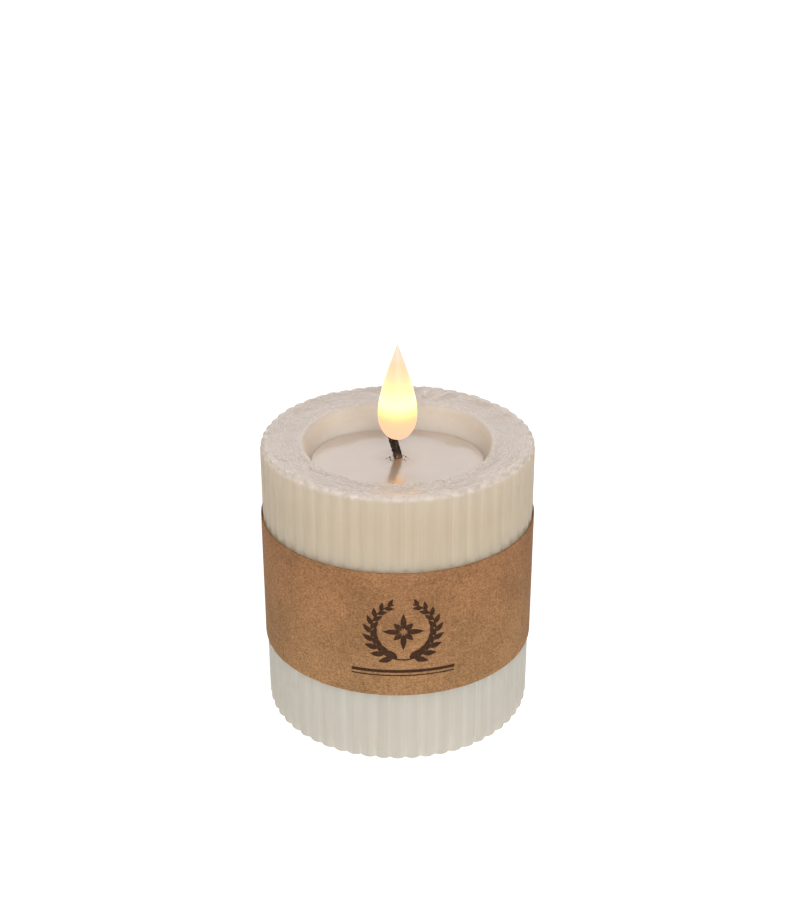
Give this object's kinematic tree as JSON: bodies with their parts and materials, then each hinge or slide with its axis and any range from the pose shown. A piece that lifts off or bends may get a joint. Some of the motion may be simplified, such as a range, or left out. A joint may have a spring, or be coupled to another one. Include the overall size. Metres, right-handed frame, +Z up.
{
  "type": "flameless led candle",
  "caption": "Ribbed wax pillar candle with a teardrop flame, melted top, paper sleeve, and a battery base with slide switch and hinged door.",
  "frame": {"origin": "centre of the wax foot, on the table", "axes": "+Z up through the flame; -Y towards the printed front of the sleeve and the slide switch; +X to the viewer's right"},
  "size_m": [0.076, 0.0764, 0.1072],
  "materials": {
    "wax": "satin",
    "melted_wax": "gloss",
    "wick": "matte",
    "flame": "satin",
    "led_lens": "gloss",
    "tinned_wire": "satin",
    "white_plastic": "satin",
    "screw_steel": "satin",
    "cell_jacket": "satin",
    "spring_steel": "polished",
    "board_green": "satin",
    "chip_black": "matte",
    "can_steel": "polished",
    "capacitor_sleeve": "gloss",
    "switch_metal": "satin",
    "black_plastic": "satin",
    "wire_red": "satin",
    "wire_black": "satin",
    "kraft_paper": "matte"
  },
  "bodies": {
    "candle": {"wax_body": "wax", "melt_pool": "melted_wax", "wick": "wick", "flame_lens": "flame", "flame_led": "led_lens", "led_leads": "tinned_wire", "stem_tube": "white_plastic", "upper_housing": "white_plastic", "base_plate": "white_plastic", "housing_screws": "screw_steel", "battery_rear": "cell_jacket", "battery_front": "cell_jacket", "contact_bridge": "spring_steel", "contact_negative": "spring_steel", "contact_positive": "spring_steel", "timer_board": "board_green", "board_screws": "screw_steel", "timer_chip": "chip_black", "crystal": "can_steel", "capacitor": "capacitor_sleeve", "resistors": "chip_black", "switch_case": "switch_metal", "lead_wire_red": "wire_red", "lead_wire_black": "wire_black", "splice_sleeves": "black_plastic", "battery_wire_red": "wire_red", "battery_wire_black": "wire_black"},
    "door": {"battery_door": "white_plastic"},
    "switch_knob": {"switch_slider": "black_plastic"},
    "sleeve": {"paper_sleeve": "kraft_paper"}
  },
  "joints": [
    {"name": "switch_slide", "type": "slide", "parent": "candle", "child": "switch_knob", "axis": [1, 0, 0], "range_m": [0, 0.004]},
    {"name": "door_hinge", "type": "hinge", "parent": "candle", "child": "door", "pos_m": [-0.025, 0, 0.002], "axis": [0, 1, 0], "range_deg": [0, 95]},
    {"name": "sleeve_slide", "type": "slide", "parent": "candle", "child": "sleeve", "axis": [0, 0, 1], "range_m": [-0.021, 0.087]}
  ]
}
